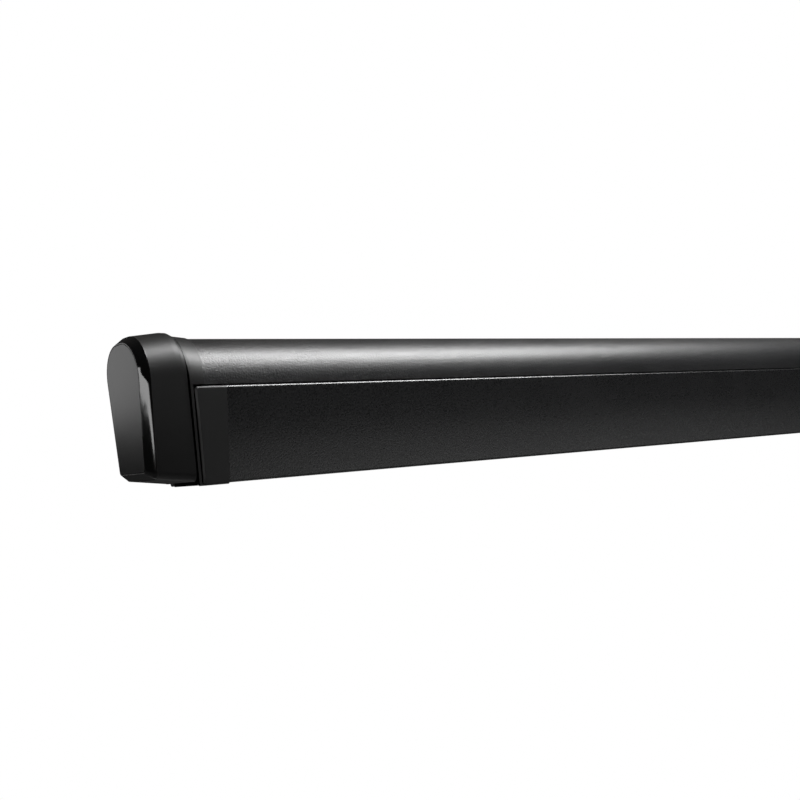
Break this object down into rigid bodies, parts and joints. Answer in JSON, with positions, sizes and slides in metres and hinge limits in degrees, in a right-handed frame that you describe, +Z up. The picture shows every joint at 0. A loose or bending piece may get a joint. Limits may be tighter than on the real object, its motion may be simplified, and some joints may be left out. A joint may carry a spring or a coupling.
{
  "type": "roll out awning",
  "caption": "Wall-mounted cassette awning, rolled in: case with moulded ends, lead rail, folding arms, roller with canopy, crank gear and stowed support legs.",
  "frame": {"origin": "middle of the centre wall bracket's back face, level with the bolt holes, on the wall's surface", "axes": "+X along the awning to its right end seen from outside, +Y into the wall, +Z up"},
  "size_m": [2.5992, 0.0959, 0.1835],
  "materials": {
    "powder_coat": "fine textured anthracite powder coat",
    "gloss_plastic": "polished black",
    "satin_plastic": "satin black",
    "steel": "zinc plated",
    "cast_alloy": "painted casting",
    "aluminium": "anodised grey",
    "bracket_coat": "powder coat",
    "canopy": "coated polyester, plain grey",
    "rubber": "matt"
  },
  "bodies": {
    "case": {"case_extrusion": "powder_coat", "nose_seal": "rubber", "wall_bracket_left": "bracket_coat", "wall_bracket_centre": "bracket_coat", "wall_bracket_right": "bracket_coat", "end_plate_left": "satin_plastic", "end_plate_right": "satin_plastic", "end_cap_left": "gloss_plastic", "end_cap_right": "gloss_plastic", "side_panel_left": "satin_plastic", "side_panel_right": "satin_plastic", "end_plate_screws": "steel", "shoulder_bracket_left": "cast_alloy", "shoulder_bracket_right": "cast_alloy", "shoulder_pins": "steel", "gearbox_case": "satin_plastic", "gearbox_cover": "satin_plastic"},
    "roller": {"roller_tube": "aluminium", "roller_keder_rod": "rubber", "wound_canopy": "canopy", "roller_plug_idler": "satin_plastic", "roller_plug_drive": "satin_plastic", "worm_wheel": "satin_plastic"},
    "crank": {"crank_shaft": "steel"},
    "lead_rail": {"lead_rail": "powder_coat", "lead_rail_cap_left": "satin_plastic", "lead_rail_cap_right": "satin_plastic", "rail_keder_rod": "rubber", "wrist_bracket_left": "cast_alloy", "wrist_bracket_right": "cast_alloy", "wrist_pins": "steel", "leg_hinge_pins": "steel"},
    "canopy_root": {"canopy_leader": "canopy"},
    "inner_arm_left": {"shoulder_knuckle_left": "cast_alloy", "inner_arm_tube_left": "aluminium", "elbow_fork_left": "cast_alloy", "elbow_pin_left": "steel", "arm_spring_left": "steel"},
    "outer_arm_left": {"elbow_tongue_left": "cast_alloy", "outer_arm_tube_left": "aluminium", "wrist_tongue_left": "cast_alloy"},
    "leg_left": {"leg_outer_tube_left": "aluminium", "leg_collar_left": "satin_plastic"},
    "leg_extension_left": {"leg_inner_tube_left": "aluminium"},
    "foot_left": {"leg_foot_left": "satin_plastic"},
    "clamp_lever_left": {"leg_clamp_lever_left": "satin_plastic"},
    "inner_arm_right": {"shoulder_knuckle_right": "cast_alloy", "inner_arm_tube_right": "aluminium", "elbow_fork_right": "cast_alloy", "elbow_pin_right": "steel", "arm_spring_right": "steel"},
    "outer_arm_right": {"elbow_tongue_right": "cast_alloy", "outer_arm_tube_right": "aluminium", "wrist_tongue_right": "cast_alloy"},
    "leg_right": {"leg_outer_tube_right": "aluminium", "leg_collar_right": "satin_plastic"},
    "leg_extension_right": {"leg_inner_tube_right": "aluminium"},
    "foot_right": {"leg_foot_right": "satin_plastic"},
    "clamp_lever_right": {"leg_clamp_lever_right": "satin_plastic"}
  },
  "joints": [
    {"name": "left_shoulder", "type": "hinge", "parent": "case", "child": "inner_arm_left", "pos_m": [-1.1412, -0.03, -0.0395], "axis": [0, 0, -1], "range_deg": [0, 72]},
    {"name": "left_elbow", "type": "hinge", "parent": "inner_arm_left", "child": "outer_arm_left", "pos_m": [-0.096, -0.0435, -0.0395], "axis": [0, 0, -1], "range_deg": [-144, 0]},
    {"name": "left_wrist", "type": "hinge", "parent": "outer_arm_left", "child": "lead_rail", "pos_m": [-1.1412, -0.057, -0.0395], "axis": [0, 0, -1], "range_deg": [0, 72]},
    {"name": "right_shoulder", "type": "hinge", "parent": "case", "child": "inner_arm_right", "pos_m": [1.1412, -0.03, -0.0395], "axis": [0, 0, -1], "range_deg": [-72, 0]},
    {"name": "right_elbow", "type": "hinge", "parent": "inner_arm_right", "child": "outer_arm_right", "pos_m": [0.096, -0.0435, -0.0395], "axis": [0, 0, -1], "range_deg": [0, 144]},
    {"name": "canopy_pull", "type": "slide", "parent": "lead_rail", "child": "canopy_root", "axis": [0, 1, 0], "range_m": [0, 1.9704], "deforming": ["canopy_leader"]},
    {"name": "roller_turn", "type": "hinge", "parent": "case", "child": "roller", "pos_m": [0, -0.042, 0.0315], "axis": [1, 0, 0], "continuous": true},
    {"name": "crank_turn", "type": "hinge", "parent": "case", "child": "crank", "pos_m": [1.2607, -0.0608, 0.0315], "axis": [0, 0, 1], "continuous": true},
    {"name": "left_leg_swing", "type": "hinge", "parent": "lead_rail", "child": "leg_left", "pos_m": [-1.1812, -0.0764, -0.0125], "axis": [0, 1, 0], "range_deg": [0, 90]},
    {"name": "left_leg_extend", "type": "slide", "parent": "leg_left", "child": "leg_extension_left", "axis": [1, 0, 0], "range_m": [0, 0.85]},
    {"name": "left_foot_tilt", "type": "hinge", "parent": "leg_extension_left", "child": "foot_left", "pos_m": [-0.1658, -0.0764, -0.0125], "axis": [0, 1, 0], "range_deg": [0, 90]},
    {"name": "left_clamp_lever", "type": "hinge", "parent": "leg_left", "child": "clamp_lever_left", "pos_m": [-0.1862, -0.0764, -0.02625], "axis": [0, -1, 0], "range_deg": [0, 90]},
    {"name": "right_leg_swing", "type": "hinge", "parent": "lead_rail", "child": "leg_right", "pos_m": [1.1812, -0.0764, -0.0505], "axis": [0, -1, 0], "range_deg": [0, 90]},
    {"name": "right_leg_extend", "type": "slide", "parent": "leg_right", "child": "leg_extension_right", "axis": [-1, 0, 0], "range_m": [0, 0.85]},
    {"name": "right_foot_tilt", "type": "hinge", "parent": "leg_extension_right", "child": "foot_right", "pos_m": [0.1658, -0.0764, -0.0505], "axis": [0, -1, 0], "range_deg": [0, 90]},
    {"name": "right_clamp_lever", "type": "hinge", "parent": "leg_right", "child": "clamp_lever_right", "pos_m": [0.1862, -0.0764, -0.06425], "axis": [0, 1, 0], "range_deg": [0, 90]}
  ],
  "couplings": [
    {"joint": "left_elbow", "follows": "left_shoulder", "ratio": -2},
    {"joint": "left_wrist", "follows": "left_shoulder", "ratio": 1},
    {"joint": "right_shoulder", "follows": "left_shoulder", "ratio": -1},
    {"joint": "right_elbow", "follows": "left_shoulder", "ratio": 2},
    {"joint": "canopy_pull", "follows": "left_shoulder", "m_per_rad": 1.5672},
    {"joint": "crank_turn", "follows": "roller_turn", "ratio": 24}
  ]
}
